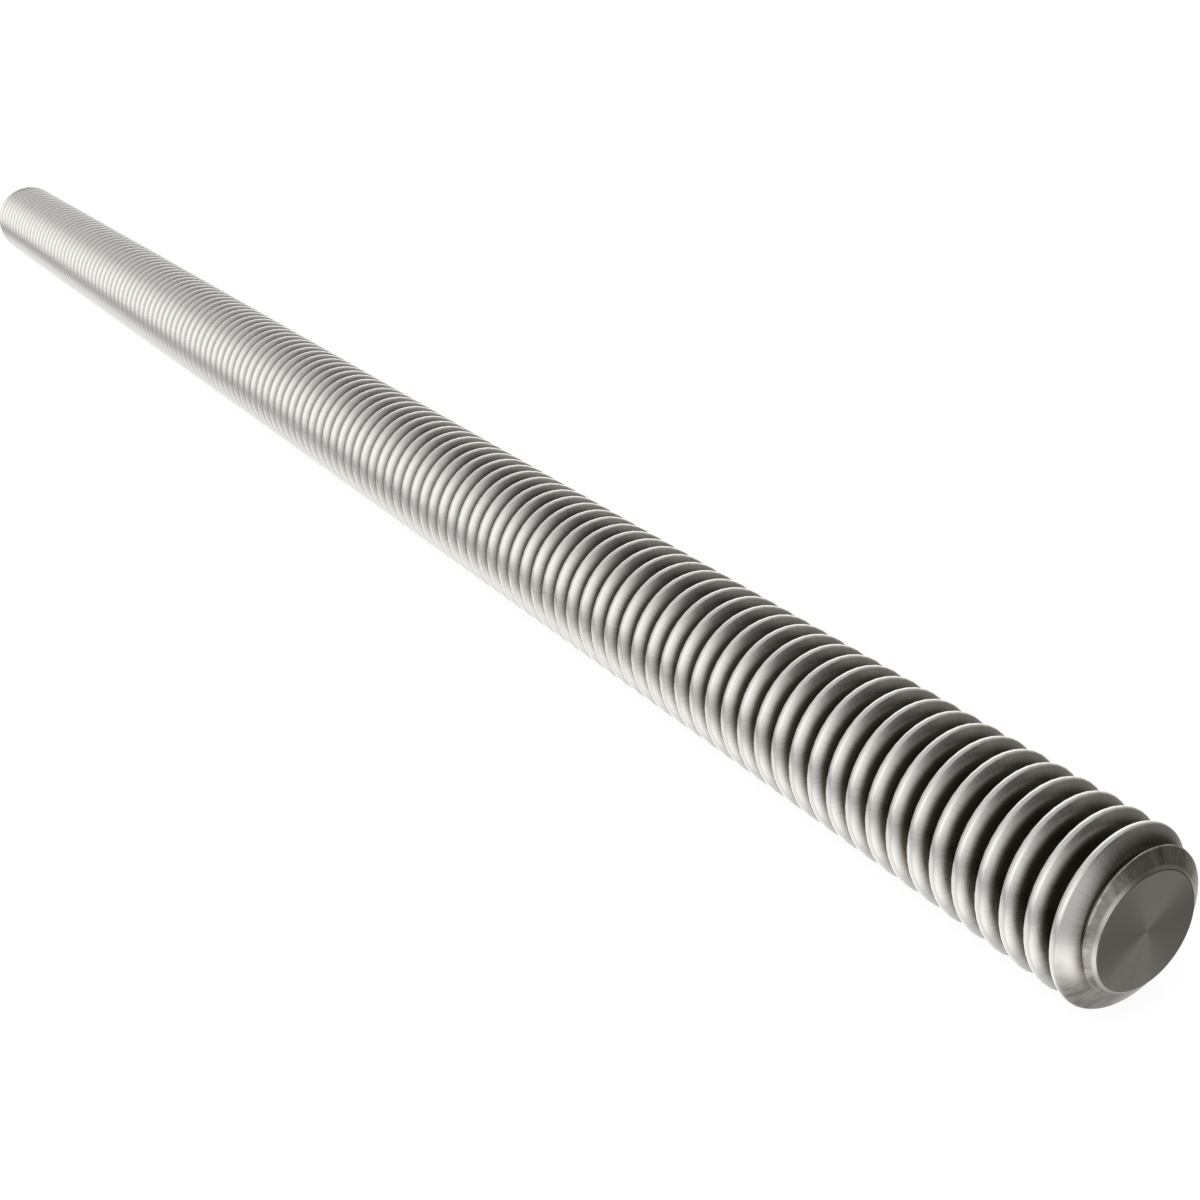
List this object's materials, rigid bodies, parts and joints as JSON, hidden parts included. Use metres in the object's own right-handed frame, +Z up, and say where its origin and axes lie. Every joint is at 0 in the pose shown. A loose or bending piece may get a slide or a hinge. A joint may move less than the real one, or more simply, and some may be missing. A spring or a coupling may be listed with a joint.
{
  "type": "threaded rod",
  "caption": "Straight stainless steel rod, threaded right-hand over its whole length, with a chamfer and a flat turned face at each end.",
  "frame": {"origin": "centre of the left end face, on the axis of the rod", "axes": "+X along the rod to its right end face, +Z up when the rod lies flat"},
  "size_m": [0.13, 0.0058, 0.0058],
  "materials": {
    "rolled_stainless": "bright rolled thread with satin grey flanks, end faces turned with fine concentric marks"
  },
  "bodies": {
    "root": {"threaded_rod": "rolled_stainless"}
  },
  "joints": []
}
